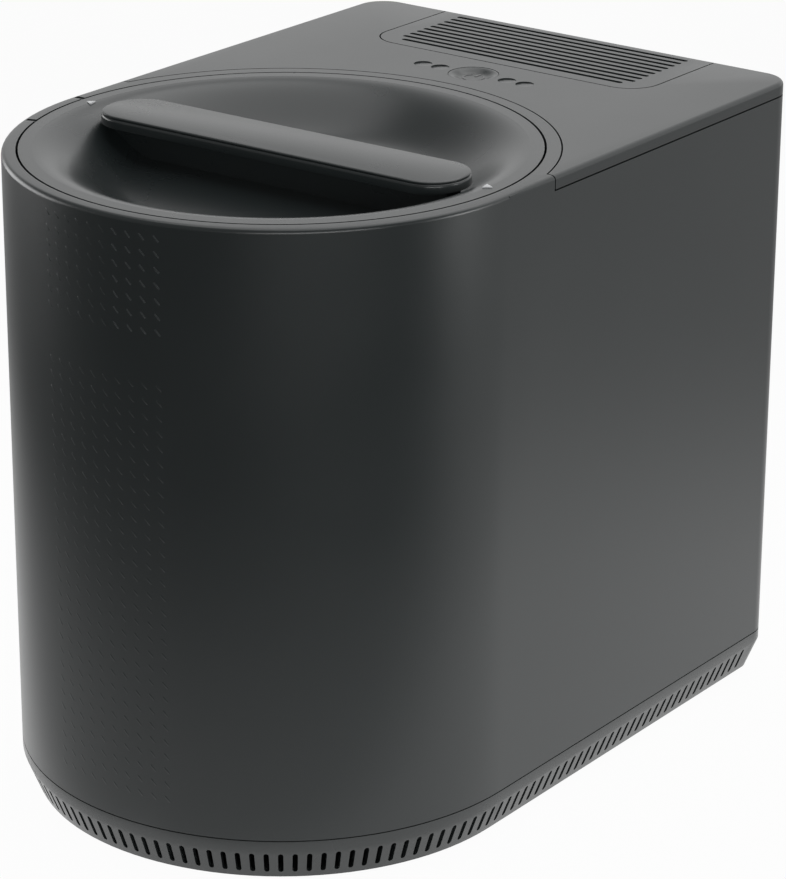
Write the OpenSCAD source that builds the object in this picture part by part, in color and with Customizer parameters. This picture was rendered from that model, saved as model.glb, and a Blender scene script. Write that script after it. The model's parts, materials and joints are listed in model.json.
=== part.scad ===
// Countertop electric food waste composter.
// A half-round front and a square rear hold a heated, stirred bucket under a twist lid,
// with a carbon filter under its own cover at the rear of the deck.
// Origin: centre of the footprint on the table. +Y to the rear, +X to the right seen from the front, +Z up.

/* [Body] */
// Width of the body, which is also the diameter of its round front
body_w = 280; // [270:1:300]
// Depth of the body, front to rear
body_d = 404; // [396:1:440]
// Height of the deck above the table
deck_z = 347; // [342:1:370]
// Thickness of the housing walls
wall = 2.5; // [2:0.1:3]
// Radius of the two upright rear corners
corner_r = 17; // [14:1:24]
// Radius along the top edge of the housing
edge_r = 2.5; // [1.5:0.1:3]
// Width of the gap between neighbouring covers
seam = 0.8; // [0.4:0.1:1.2]

/* [Base] */
// Height of the rubber feet under the base
foot_h = 4.5; // [3:0.5:6]
// Radius of a foot
foot_r = 10; // [8:0.5:13]
// Height of the base from its lower edge to the seam
base_h = 23.3; // [20:0.1:26]
// Height of the slanted band of the base
chamfer_h = 17.5; // [15:0.1:19]
// How far the slanted band leans in
chamfer_in = 7; // [6:0.1:9]
// Thickness of the base floor
floor_t = 3; // [2:0.1:4]
// Width of a vent slot
slot_w = 2.7; // [2:0.1:3.2]
// Distance between vent slots
slot_pitch = 7.3; // [6.5:0.1:10]

/* [Lid] */
// Width of the ring between the lid and the housing's edge
ring_w = 7.2; // [6:0.1:9]
// Width of the gap round the lid
lid_seam = 1.2; // [0.8:0.1:1.6]
// Depth of the lid's dish below the deck
dish_depth = 21; // [18:0.5:23]
// Width of the lid's flat flange
flange_w = 6.5; // [6:0.5:14]
// Width of the slope between the flange and the flat floor of the dish
slope_w = 47; // [34:0.5:50]
// Wall of the lid's dish
dish_t = 2.5; // [2:0.1:3]
// Distance from the end of the handle bar to the lid's edge
bar_gap = 21; // [15:0.5:30]
// Width of the handle bar
bar_w = 40.5; // [34:0.5:44]
// Thickness of the handle bar
bar_t = 6.5; // [5.5:0.1:8]
// How far the bar stands above the deck
bar_up = 2.3; // [2:0.1:5]
// Turn of the bar and arrows on the lid, degrees
bar_turn = 1.7; // [0:0.1:4]
// Thickness of the web under the bar
web_t = 12; // [9:0.5:14]
// Turn of the lid from its set-down mark to its second mark, degrees
lock_turn = 20; // [15:1:24]

/* [Bucket] */
// Distance from the inside of the bucket to the outside of the housing
bucket_room = 40; // [38:0.5:46]
// Depth inside the bucket
bucket_depth = 165; // [150:1:167]
// Wall of the bucket
bucket_t = 3; // [2:0.1:3.4]
// How far the bucket's rim stands out from its inside
rim_out = 12; // [10:0.5:13]
// Thickness of the rim
rim_t = 3; // [2.4:0.1:3.4]
// Diameter of the bail wire
bail_d = 3.5; // [3:0.1:3.8]
// Height of the agitator's blades above the bucket floor
agitator_h = 92; // [70:1:110]
// Gap between the agitator's arms and the bucket's wall
arm_gap = 5; // [3:0.5:8]
// Length of a fixed blade
fixed_l = 30; // [20:1:36]

/* [Drive] */
// Diameter of the output shaft
shaft_d = 16; // [12:0.5:18]
// Diameter of the layshaft
lay_d = 10; // [8:0.5:12]
// Diameter of the motor shaft
motor_shaft_d = 8; // [6:0.5:9]
// Diameter of the motor
motor_d = 62; // [56:1:68]
// Height of the motor
motor_h = 46; // [40:1:50]
// Running clearance of a shaft in its bearing, on the radius
run_fit = 0.05; // [0.03:0.01:0.08]
// Gap between moving pieces that don't touch
free_gap = 0.35; // [0.3:0.05:0.5]

/* [Air] */
// Width of the filter cover
cover_w = 180; // [160:1:190]
// Length of the filter cover, front to rear
cover_l = 76; // [72:0.5:80]
// Radius of the cover's front corners
cover_r = 18; // [12:1:22]
// Width of a grille slot
grille_w = 3; // [2.4:0.1:3.6]
// Distance between grille slots
grille_pitch = 6.4; // [6:0.1:6.6]
// Radius of the fan wheel
fan_r = 34; // [28:0.5:36]
// Height of the fan wheel
fan_h = 24; // [18:0.5:26]
// Radius of the blower's motor
blower_motor_r = 22; // [16:0.5:26]
// Height of the blower's motor
blower_motor_h = 36; // [30:1:40]
// Width of the exhaust duct
duct_w = 40; // [30:1:44]
// Height of the exhaust duct
duct_h = 26; // [22:1:30]

/* [Rear panel] */
// Width of the rear panel
panel_w = 200; // [180:1:220]
// Height of the rear panel
panel_h = 110; // [100:1:130]
// Width of the power inlet
inlet_w = 28; // [27:0.5:30]
// Height of the power inlet
inlet_h = 22; // [20:0.5:24]

/* [Controls] */
// Radius of the power button
button_r = 13.5; // [11:0.5:16]
// Travel of the power button
button_travel = 1.2; // [0.8:0.1:1.6]
// Diameter of an indicator lens
lens_d = 10; // [7:0.5:10.5]
// Width of the control board
board_w = 100; // [90:1:130]
// Depth of the control board
board_d = 28; // [24:1:36]

/* [Hidden] */
$fn = 96;

// Plan of the housing
R = body_w / 2;
rear_y = body_d / 2;
cy = R - rear_y;
skirt_z = foot_h;
base_z = skirt_z + base_h;
cover_y = cy + 38;
base_seam = 0.6;
cover_drop = 7;
cover_z = deck_z - cover_drop;
lid_r = R - ring_w - lid_seam;
ring_in = lid_r + lid_seam;
ring_t = 3.5;

// Lid levels
flange_t = 3;
dish_z = deck_z - dish_depth;
dish_rim_r = lid_r - flange_w;
dish_floor_r = dish_rim_r - slope_w;
bar_l = 2 * (lid_r - bar_gap);
skirt_in = 6;
skirt_r = lid_r - skirt_in;
skirt_t = 2.5;
lug_out = 4.5;
lug_turn = 13;
lug_at = [30, 150, 270];
lug_z = deck_z - 19;
lug_h = 4;
tab_z = lug_z + lug_h + free_gap;
tab_h = 4;
plate_z = deck_z - 34;
plate_t = 3;
plate_r = skirt_r - 1;
hub_out = 11;
pivot_r = 6;
lid_screw_r = 2;
lid_screw_x = 40;
bar_z = deck_z + bar_up - bar_t;
arrow_x = lid_r - 7.6;
arrow_turn = 125;
arrow_up = 0.5;
seal_r = plate_r - 1;
seal_t = 5.5;

// Bucket levels
rim_z = plate_z - 7;
pot_z = rim_z - bucket_depth - bucket_t;
flange_z = rim_z - rim_t - free_gap * 2;
bucket_r = R - bucket_room;
rim_r = bucket_r + rim_out;
bail_r = rim_r - 2;
bail_z = rim_z + free_gap + 2.4;
ear_t = 3;
pin_r = 1.5;
ear_x = bail_r - bail_d / 2 - free_gap - ear_t;

// Well and drive levels
plate_top = 110;
chassis_t = 3;
well_gap = 3.5;
well_r = bucket_r + bucket_t + well_gap;
well_t = 1.5;
well_hole_r = 24;
well_flange_r = seal_r + 1;
heater_t = 3;
heater_h = 60;
jacket_gap = 5;
jacket_t = 9;
jacket_r = well_r + well_t + jacket_gap + jacket_t;
stand_r = 61;
stand_t = 3;
thermostat_r = 9;
thermostat_h = 8;
thermostat_at = 40;
seal_hole_r = shaft_d / 2 + 7;
well_z = pot_z - free_gap - well_t;
case_z = 62;
case_t = 4;
case_top = plate_top - chassis_t;
pitch_1 = 1.5;
teeth_rotor = 12;
teeth_lay = 60;
pitch_2 = 2;
teeth_pinion = 12;
teeth_out = 48;
dist_1 = pitch_1 * (teeth_rotor + teeth_lay) / 2;
dist_2 = pitch_2 * (teeth_pinion + teeth_out) / 2;
lay_turn = 60;
rotor_turn = -30;
lay_at = [dist_2 * cos(lay_turn), cy + dist_2 * sin(lay_turn)];
rotor_at = lay_at + [dist_1 * cos(rotor_turn), dist_1 * sin(rotor_turn)];
gear1_z = case_z + case_t + 2;
gear1_h = 10;
gear2_z = gear1_z + gear1_h + 5;
gear2_h = 14;
dog_w = 14;
dome_r = 30;
dome_h = 11;
hub_r = 7;
bush_t = 3;
bearing_r = shaft_d / 2 + 9;
bearing_h = 9;

// Rear compartment
filter_y = rear_y - cover_l;
tray_top = deck_z - 3 - free_gap;
tray_drop = 69;
tray_z = tray_top - tray_drop;
tray_t = 2;
case_in = tray_t + 0.4;
case_pitch = 13;
grille_y = 10;
grille_in = 14.5;
grille_r = 9;
grille_n = floor((cover_l - grille_y - 8) / grille_pitch) + 1;
tray_w = cover_w - 16;
tray_y0 = filter_y + 7;
tray_y1 = rear_y - 12;
volute_t = 2;
volute_r = fan_r + 8;
fan_at = [0, rear_y - wall - volute_r - 4];
duct_t = 1.6;
duct_z = tray_z - duct_h - 8;
inlet_r = 18;
collar_h = 4;
blower_top = duct_z - collar_h;
fan_z = blower_top - fan_h - 4;
riser_y = 12;
blower_shaft_r = 2.5;
bracket_t = 3;
blower_z = fan_z - volute_t - blower_motor_h;
button_y = (cy + R + filter_y) / 2;
lens_x = [-33.5, -22, 22, 33.5];
board_z = deck_z - 24;
pcb_t = 1.6;
lens_t = 7;
dish_ball = 65.6;
button_dish = 1.6;
button_lip = 2;
stem_z = board_z + 8;
stem_r = 3;
panel_z0 = 44;
panel_gap = 0.4;
panel_boss_w = 18;
panel_screw_z = [panel_z0 + 20, panel_z0 + panel_h - 20];
panel_boss_t = 7;
inlet_x = panel_w / 2 - 40;
inlet_z = panel_z0 + 26;
inlet_d = 24;
main_x = wall - R + 9.5;
main_y = tray_y0 - 66;
main_l = 88;
main_h = 96;
supply_size = [23, 32, 28];
relay_size = [15, 26, 16];
driver_size = [19, 40, 22];
capacitor_r = 8;
boss_r = 5;
screw_r = 1.6;
post_in = 22;
post_z = skirt_z + floor_t + 8;
post_at = [[R - post_in, cy], [post_in - R, cy], [0, cy - R + post_in - 1], [R - post_in, rear_y - 32],
    [post_in - R, rear_y - 32]];
foot_x = 82;
foot_y = 78;
foot_at = [[foot_x, cy - foot_y], [-foot_x, cy - foot_y], [R - 42, rear_y - 52], [42 - R, rear_y - 52]];
screw_head_r = 3.2;
screw_head_h = 1.6;

// Plan outline of the housing, drawn in by i
module plan(i = 0) {
    r = R - i;
    c = max(corner_r - i, 2);
    k = r - c;
    translate([0, cy]) circle(r, $fn = 180);
    translate([-r, cy]) square([2 * r, rear_y - i - c - cy]);
    translate([-k, cy]) square([2 * k, rear_y - i - cy]);
    for (s = [-1, 1]) translate([s * k, rear_y - i - c]) circle(c);
}

module prism(i, z0, z1) {
    translate([0, 0, z0]) linear_extrude(z1 - z0) plan(i);
}

// Solid whose outline leans from inset i0 at z0 to inset i1 at z1
module leaning(i0, i1, z0, z1) {
    h = z1 - z0;
    k = R - corner_r;
    translate([0, cy, z0]) cylinder(h, R - i0, R - i1, $fn = 180);
    translate([0, rear_y - corner_r, z0]) rotate([90, 0, 0]) linear_extrude(rear_y - corner_r - cy)
        polygon([[i0 - R, 0], [R - i0, 0], [R - i1, h], [i1 - R, h]]);
    translate([-k, 0, z0]) rotate([90, 0, 90]) linear_extrude(2 * k)
        polygon([[cy, 0], [rear_y - i0, 0], [rear_y - i1, h], [cy, h]]);
    for (s = [-1, 1]) translate([s * k, rear_y - corner_r, z0])
        cylinder(h, max(corner_r - i0, 1), max(corner_r - i1, 1));
}

// Side view of a block whose upper outer edge is rounded, from the axis out to w
function rounded_edge(w, z0, z1) = concat([[w, z0]], [for (a = [0 : 15 : 90])
    [w - edge_r + edge_r * cos(a), z1 - edge_r + edge_r * sin(a)]]);

// Housing block with a rounded top edge
module rounded_block(z0, z1) {
    k = R - corner_r;
    side = rounded_edge(R, z0, z1);
    n = len(side) - 1;
    translate([0, cy, 0]) rotate(180) rotate_extrude(angle = 180, $fn = 180)
        polygon(concat([[0, z0]], side, [[0, z1]]));
    translate([0, rear_y - corner_r, 0]) rotate([90, 0, 0]) linear_extrude(rear_y - corner_r - cy)
        polygon(concat(side, [for (i = [n : -1 : 0]) [-side[i].x, side[i].y]]));
    translate([-k, rear_y - corner_r, 0]) rotate([90, 0, 90]) linear_extrude(2 * k)
        polygon(concat([[0, z0]], rounded_edge(corner_r, z0, z1), [[0, z1]]));
    for (s = [0, 1]) translate([s ? k : -k, rear_y - corner_r, 0]) rotate(s ? 0 : 90)
        rotate_extrude(angle = 90) polygon(concat([[0, z0]], rounded_edge(corner_r, z0, z1), [[0, z1]]));
}

module block(x0, x1, y0, y1, z0, z1) {
    translate([x0, y0, z0]) cube([x1 - x0, y1 - y0, z1 - z0]);
}

module ring(r0, r1, z0, z1, at = [0, cy], fn = 180) {
    translate([at.x, at.y, z0]) difference() {
        cylinder(z1 - z0, r = r1, $fn = fn);
        translate([0, 0, -1]) cylinder(z1 - z0 + 2, r = r0, $fn = fn);
    }
}

module rod(r, z0, z1, at = [0, cy], fn = 48) {
    translate([at.x, at.y, z0]) cylinder(z1 - z0, r = r, $fn = fn);
}

// Spur gear with straight-flanked teeth, a tooth centred on angle a
module gear(m, n, h, a = 0) {
    pr = m * n / 2;
    ta = 360 / n;
    linear_extrude(h) polygon([for (k = [0 : n - 1]) for (q = [[-0.42, -1.2], [-0.2, 0], [-0.09, 0.92],
        [0.09, 0.92], [0.2, 0], [0.42, -1.2]])
        (pr + q[1] * m) * [cos(a + (k + q[0]) * ta), sin(a + (k + q[0]) * ta)]]);
}

// Vent slot of the base with round ends, cut straight through the slanted band
module slot(z0, z1) {
    r = slot_w / 2;
    translate([0, chamfer_in + 6, 0]) rotate([90, 0, 0]) linear_extrude(chamfer_in + 12)
        polygon([for (s = [0, 1], a = [0 : 45 : 180])
            [r * cos(a + 180 * s), s ? z0 + r + r * sin(a + 180) : z1 - r + r * sin(a)]]);
}

module vent_slots() {
    z0 = skirt_z + floor_t + 0.3;
    z1 = skirt_z + chamfer_h - 1.6;
    arc_n = floor(PI * R / slot_pitch);
    side_n = floor((rear_y - corner_r - cy) / slot_pitch);
    back_n = floor((body_w - 2 * corner_r) / slot_pitch);
    for (k = [0 : arc_n - 1])
        translate([0, cy]) rotate(180 + (k + 0.5) * 180 / arc_n + 90) translate([0, -R]) slot(z0, z1);
    for (s = [-1, 1], k = [0 : side_n - 1])
        translate([s * R, cy + (k + 0.5) * slot_pitch]) rotate(s * 90) slot(z0, z1);
    for (k = [0 : back_n - 1])
        translate([(k - (back_n - 1) / 2) * slot_pitch, rear_y]) rotate(180) slot(z0, z1);
}

module panel_hole() {
    block(-panel_w / 2, panel_w / 2, rear_y - wall, rear_y + 1, panel_z0, panel_z0 + panel_h);
}

module panel_holes(r, l, y = rear_y + 1) {
    for (s = [-1, 1], z = panel_screw_z)
        translate([s * (panel_w / 2 - 6), y, z]) rotate([90, 0, 0]) cylinder(l, r = r, $fn = 24);
}

module outer_shell() color([0.33, 0.335, 0.345]) {
    difference() {
        union() {
            difference() {
                rounded_block(base_z + base_seam / 2, deck_z);
                prism(wall, base_z - 1, deck_z - ring_t);
            }
            for (s = [-1, 1], z = panel_screw_z) block(s * (panel_w / 2 - 3) - panel_boss_w / 2,
                s * (panel_w / 2 - 3) + panel_boss_w / 2, rear_y - wall - panel_boss_t, rear_y - 1,
                z - panel_boss_w / 2, z + panel_boss_w / 2);
        }
        rod(ring_in, base_z, deck_z + 1, fn = 180);
        difference() {
            block(-R - 1, R + 1, cover_y, rear_y + 1, cover_z - seam, deck_z + 1);
            rod(R, cover_z - 9, deck_z + 2, fn = 180);
        }
        for (a = [180, 180 + lock_turn]) translate([0, cy, deck_z - 0.6]) rotate(a)
            translate([ring_in - 1, -1.5, 0]) cube([R - ring_in - edge_r + 1, 3, 2]);
        panel_hole();
        panel_holes(screw_r, 20);
    }
    difference() {
        intersection() {
            ring(R - wall, R, cover_z - 12, deck_z - 1);
            prism(0, 0, deck_z);
        }
        block(-R, R, cy - R, cy, 0, deck_z + 1);
    }
}

module base_tray() color([0.3, 0.305, 0.315]) {
    lip = skirt_z + chamfer_h;
    difference() {
        union() {
            leaning(chamfer_in, 0, skirt_z, lip);
            prism(0, lip, base_z - base_seam / 2);
            prism(1.2, lip, base_z + base_seam / 2);
            prism(wall + 0.3, lip, base_z + 7);
        }
        leaning(chamfer_in + wall * 1.2, wall * 1.2, skirt_z + floor_t, lip);
        prism(wall * 2 + 0.3, lip - 1, base_z + 8);
        vent_slots();
        for (p = post_at) rod(screw_r + 0.3, 0, post_z + 4, p, 24);
    }
    for (p = post_at) difference() {
        rod(boss_r, skirt_z + 1, post_z, p);
        rod(screw_r + 0.3, 0, post_z + 4, p, 24);
    }
    rod(motor_d / 2 - 6, skirt_z + 1, case_z - motor_h - free_gap * 2, rotor_at);
}

module feet() color([0.1, 0.1, 0.1])
    for (p = foot_at) translate([p.x, p.y, 0]) {
        cylinder(1, foot_r - 1, foot_r);
        translate([0, 0, 1]) cylinder(foot_h - 1, r = foot_r);
    }

module cover_opening(g) {
    c = cover_r + g;
    w = cover_w / 2 + g;
    block(-w + c, w - c, filter_y - g, rear_y + 1, cover_z - 30, deck_z + 5);
    block(-w, w, filter_y - g + c, rear_y + 1, cover_z - 30, deck_z + 5);
    for (s = [-1, 1]) rod(c, cover_z - 30, deck_z + 5, [s * (w - c), filter_y - g + c]);
}

module top_cover() color([0.33, 0.335, 0.345]) {
    for (s = [-1, 1]) rod(boss_r - 2, board_z + pcb_t, deck_z - 2, [s * (board_w / 2 - 6), button_y]);
    difference() {
        union() {
            difference() {
                rounded_block(cover_z, deck_z);
                prism(wall, cover_z - 1, deck_z - 3);
            }
            difference() {
                prism(wall + 0.3, cover_z - 6, deck_z - 2);
                prism(wall * 2 + 0.3, cover_z - 7, deck_z - 1);
            }
        }
        block(-R - 1, R + 1, cy - R - 1, cover_y + seam, 0, deck_z + 1);
        rod(R + seam, 0, deck_z + 1, fn = 180);
        cover_opening(seam / 2);
        rod(button_r + 0.3, cover_z, deck_z + 1, [0, button_y]);
        for (x = lens_x) rod(lens_d / 2, cover_z, deck_z + 1, [x, button_y]);
    }
}

module rear_panel() color([0.2, 0.2, 0.21])
    difference() {
        block(-panel_w / 2 + panel_gap, panel_w / 2 - panel_gap, rear_y - wall, rear_y, panel_z0 + panel_gap,
            panel_z0 + panel_h - panel_gap);
        panel_holes(screw_r + 0.3, 10);
        panel_holes(screw_head_r, 2.5);
        inlet_block(0.3, 30);
        for (k = [0 : 7]) block(30 - panel_w / 2, inlet_x - inlet_w / 2 - 16, rear_y - wall - 1, rear_y + 1,
            panel_z0 + 22 + k * 9, panel_z0 + 25 + k * 9);
    }

module panel_screws() color([0.6, 0.6, 0.6]) {
    panel_holes(screw_r, panel_boss_t + 1, rear_y - 1.5);
    panel_holes(screw_head_r - 0.2, screw_head_h - 0.2, rear_y - 0.1);
}

module base_screws() color([0.6, 0.6, 0.6])
    for (p = post_at) {
        rod(screw_r, skirt_z - 1, post_z + 10, p, 24);
        rod(screw_head_r, skirt_z - screw_head_h, skirt_z, p, 24);
    }

module bayonet_ring() color([0.25, 0.25, 0.26])
    difference() {
        ring(skirt_r + 1, R - wall - 0.3, tab_z, tab_z + tab_h);
        for (a = lug_at) translate([0, cy, tab_z - 1]) rotate(a - lug_turn / 2 - 1.5)
            rotate_extrude(angle = lug_turn + 3) square([skirt_r + lug_out + 1, tab_h + 2]);
    }

module reed_switch() color([0.1, 0.1, 0.1])
    translate([0, cy, tab_z - 8]) rotate(90)
        translate([skirt_r + lug_out + 1, -9, 0]) cube([R - wall - skirt_r - lug_out - 2.5, 18, 8]);

module port(g, y1) {
    block(-duct_w / 2 - g, duct_w / 2 + g, cy, y1, duct_z - g, duct_z + duct_h + g);
}

module well_liner() color([0.75, 0.76, 0.77])
    difference() {
        union() {
            rod(well_r + well_t, well_z, flange_z, fn = 180);
            rod(well_flange_r, flange_z - well_t, flange_z, fn = 180);
        }
        rod(well_r, well_z + well_t, flange_z + 1, fn = 180);
        rod(well_hole_r, well_z - 1, well_z + well_t + 1);
        port(-4, cy + R);
    }

module insulation_jacket() color([0.85, 0.82, 0.7])
    difference() {
        ring(jacket_r - jacket_t, jacket_r, plate_top, flange_z - well_t);
        port(0, cy + R);
    }

module heater_band() color([0.5, 0.45, 0.4])
    ring(well_r + well_t, well_r + well_t + heater_t, well_z + 6, well_z + 6 + heater_h);

module thermostat() color([0.9, 0.9, 0.85]) {
    rod(thermostat_r, well_z - thermostat_h, well_z, [0, cy - thermostat_at]);
    block(-6, 6, cy - thermostat_at - 3, cy - thermostat_at + 3, well_z - thermostat_h - 4, well_z - thermostat_h + 1);
}

module chassis_plate() color([0.6, 0.6, 0.62]) {
    difference() {
        prism(wall * 2 + 0.8, plate_top - chassis_t, plate_top);
        rod(seal_hole_r, plate_top - chassis_t - 1, plate_top + 1);
    }
    ring(stand_r - stand_t, stand_r, plate_top - 1, well_z);
}

module chassis_posts() color([0.3, 0.3, 0.3])
    for (p = post_at) difference() {
        rod(boss_r, post_z, plate_top - chassis_t, p);
        rod(screw_r, post_z - 1, post_z + 12, p, 24);
    }

module gearbox_plan(t) {
    translate([0, cy]) circle(pitch_2 * (teeth_out / 2 + 2) + t);
    translate(lay_at) circle(pitch_1 * (teeth_lay / 2 + 2) + t);
    translate(rotor_at) circle(pitch_1 * (teeth_rotor / 2 + 2) + t);
}

case_split = case_z + 22;
ear_r = 6;
ear_out = pitch_2 * (teeth_out / 2 + 2) + case_t + 2;
lay_ear = pitch_1 * (teeth_lay / 2 + 2) + case_t + 2;
ears = concat([for (a = [130, 215, 300]) [ear_out * cos(a), cy + ear_out * sin(a)]],
    [lay_at + lay_ear * [cos(60), sin(60)]]);

module gearbox_lower_case() color([0.55, 0.56, 0.58])
    difference() {
        union() {
            translate([0, 0, case_z]) linear_extrude(case_split - case_z) gearbox_plan(case_t);
            for (p = ears) rod(ear_r, case_z, case_split, p);
        }
        translate([0, 0, case_z + case_t]) linear_extrude(case_split) gearbox_plan(0);
        rod(shaft_d / 2 + bush_t, 0, case_split);
        rod(lay_d / 2 + bush_t, 0, case_split, lay_at);
        rod(motor_shaft_d / 2 + run_fit, 0, case_split, rotor_at);
        for (p = ears) rod(screw_r, 0, case_split + 1, p, 24);
    }

module gearbox_upper_case() color([0.55, 0.56, 0.58])
    difference() {
        union() {
            translate([0, 0, case_split]) linear_extrude(case_top - case_split) gearbox_plan(case_t);
            for (p = ears) rod(ear_r, case_split, case_top, p);
        }
        difference() {
            translate([0, 0, case_split - 1]) linear_extrude(case_top - case_split - case_t + 1) gearbox_plan(0);
            rod(bearing_r + 3, case_top - bearing_h, case_top);
        }
        rod(bearing_r, case_top - bearing_h, case_top + 1);
        rod(shaft_d / 2 + 2, case_split, case_top + 1);
        rod(lay_d / 2 + bush_t, case_split, case_top + 1, lay_at);
        for (p = ears) rod(screw_r, case_split - 1, case_top - 5, p, 24);
    }

module gearbox_screws() color([0.6, 0.6, 0.6])
    for (p = ears) {
        rod(screw_r, case_z - 1, case_top - 6, p, 24);
        rod(screw_head_r, case_z - screw_head_h, case_z, p, 24);
    }

module gearbox_bushes() color([0.72, 0.55, 0.3]) {
    ring(shaft_d / 2 + run_fit, shaft_d / 2 + bush_t, case_z, case_z + case_t, fn = 64);
    for (z = [case_z, case_top - case_t])
        ring(lay_d / 2 + run_fit, lay_d / 2 + bush_t, z, z + case_t, lay_at, 64);
}

module output_bearing() color([0.75, 0.75, 0.77])
    ring(shaft_d / 2 + run_fit, bearing_r, case_top - bearing_h, case_top, fn = 64);

module shaft_seal() color([0.15, 0.15, 0.15])
    ring(shaft_d / 2 + run_fit, seal_hole_r, plate_top - chassis_t, plate_top + 4, fn = 64);

module output_shaft() color([0.7, 0.7, 0.72]) {
    rod(shaft_d / 2, case_z + 0.5, pot_z - 2);
    translate([-dog_w / 2, cy - dog_w / 2, pot_z - 3]) cube([dog_w, dog_w, dome_h]);
}

module output_gear() color([0.62, 0.6, 0.55])
    difference() {
        translate([0, cy, gear2_z]) gear(pitch_2, teeth_out, gear2_h, lay_turn);
        rod(shaft_d / 2, 0, case_top);
    }

module layshaft() color([0.66, 0.64, 0.6])
    translate([lay_at.x, lay_at.y, 0]) {
        translate([0, 0, case_z + 0.5]) cylinder(case_top - case_z - 1, r = lay_d / 2);
        translate([0, 0, gear1_z]) gear(pitch_1, teeth_lay, gear1_h, rotor_turn);
        translate([0, 0, gear1_z + gear1_h - 1]) gear(pitch_2, teeth_pinion,
            gear2_z + gear2_h - gear1_z - gear1_h + 1, lay_turn + 180 + 180 / teeth_pinion);
    }

can_z = case_z - motor_h;

module motor_can() color([0.45, 0.45, 0.47])
    difference() {
        union() {
            ring(motor_d / 2 - 2, motor_d / 2, can_z, case_z, rotor_at, 96);
            rod(motor_d / 2 - 1, can_z, can_z + 2, rotor_at);
            rod(motor_shaft_d, can_z, can_z + 8, rotor_at);
        }
        rod(motor_shaft_d / 2 + run_fit, can_z + 2, case_z, rotor_at);
    }

module motor_stator() color([0.72, 0.42, 0.2])
    ring(motor_d / 2 - 12, motor_d / 2 - 2, can_z + 10, case_z - 6, rotor_at, 96);

module motor_rotor() color([0.5, 0.5, 0.52]) {
    rod(motor_shaft_d / 2, can_z + 2.4, gear1_z + gear1_h, rotor_at);
    rod(motor_d / 2 - 12.6, can_z + 11, case_z - 7, rotor_at);
    translate([rotor_at.x, rotor_at.y, gear1_z]) gear(pitch_1, teeth_rotor, gear1_h,
        rotor_turn + 180 + 180 / teeth_rotor);
}

module exhaust_duct() color([0.7, 0.7, 0.7])
    difference() {
        port(0, fan_at.y + inlet_r + 4);
        port(-duct_t, fan_at.y + inlet_r + 2);
        rod(well_r + well_t, 0, deck_z, fn = 180);
        rod(inlet_r, duct_z - 1, duct_z + 5, fan_at);
    }

module blower_housing() color([0.18, 0.18, 0.19])
    difference() {
        union() {
            rod(volute_r, fan_z - volute_t, blower_top, fan_at);
            rod(inlet_r + volute_t, fan_z, duct_z, fan_at);
            riser(0, fan_z, tray_z);
        }
        rod(volute_r - volute_t, fan_z, blower_top - volute_t, fan_at);
        rod(inlet_r, fan_z, duct_z + 1, fan_at);
        rod(blower_shaft_r + 3, fan_z - 3, fan_z + 1, fan_at);
        riser(volute_t, fan_z + 1, tray_z + 1);
    }

// Way up from the blower's scroll to the filter, beside the duct
module riser(i, z0, z1) {
    block(duct_w / 2 + 2 + i, volute_r - 2 - i, fan_at.y - riser_y + i, fan_at.y + riser_y - i, z0, z1);
}

module blower_motor() color([0.4, 0.4, 0.42])
    difference() {
        rod(blower_motor_r, blower_z, fan_z - volute_t, fan_at);
        rod(blower_shaft_r + run_fit, fan_z - 20, fan_z, fan_at);
    }

module blower_bracket() color([0.6, 0.6, 0.62]) {
    w = blower_motor_r + 8;
    block(-w, w, fan_at.y - blower_motor_r - 4, fan_at.y + blower_motor_r + 4, blower_z - bracket_t, blower_z);
    for (s = [-1, 1]) block(s * (w - bracket_t / 2) - bracket_t / 2, s * (w - bracket_t / 2) + bracket_t / 2,
        fan_at.y - blower_motor_r - 4, fan_at.y + blower_motor_r + 4, plate_top, blower_z - 1);
}

module fan_wheel() color([0.15, 0.15, 0.16]) {
    rod(blower_shaft_r, fan_z - 19, fan_z + fan_h - 4, fan_at, 24);
    rod(fan_r, fan_z + 1, fan_z + 3, fan_at, 64);
    rod(8, fan_z + 1, fan_z + 12, fan_at);
    for (a = [0 : 15 : 345]) translate([fan_at.x, fan_at.y, fan_z + 2]) rotate(a)
        translate([fan_r - 10, -0.6, 0]) cube([9.6, 1.2, fan_h - 3]);
}

module tray_box(i, z0, z1) {
    block(-tray_w / 2 + i, tray_w / 2 - i, tray_y0 + i, tray_y1 - i, z0, z1);
}

module filter_tray() color([0.25, 0.25, 0.26])
    difference() {
        union() {
            tray_box(0, tray_z, tray_top);
            block(-cover_w / 2 - 6, cover_w / 2 + 6, filter_y - 6, rear_y - wall * 2 - 1, tray_top - 2.5, tray_top);
        }
        tray_box(tray_t, tray_z + tray_t, tray_top + 1);
        riser(volute_t, tray_z - 1, tray_z + tray_t + 1);
        rod(button_r + button_lip + free_gap * 2, tray_top - 3.5, tray_top + 1, [0, button_y]);
    }

module filter_case() color([0.2, 0.2, 0.21])
    difference() {
        tray_box(case_in, tray_z + case_in, tray_top - 8);
        tray_box(case_in + tray_t, tray_z + case_in + tray_t, tray_top - 8 - tray_t);
        for (k = [-5 : 5]) block(k * case_pitch - 4, k * case_pitch + 4, tray_y0 + 8, tray_y1 - 8, tray_z, tray_top);
    }

module filter_charcoal() color([0.08, 0.08, 0.08])
    tray_box(case_in + tray_t + 0.2, tray_z + case_in + tray_t + 0.2, tray_top - 8.2 - tray_t);

// How much shorter a slot is that lies this far in from the first one
function corner_cut(d) = grille_r - sqrt(pow(grille_r, 2) - pow(max(0, grille_r - 1.5 - d), 2));

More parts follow.
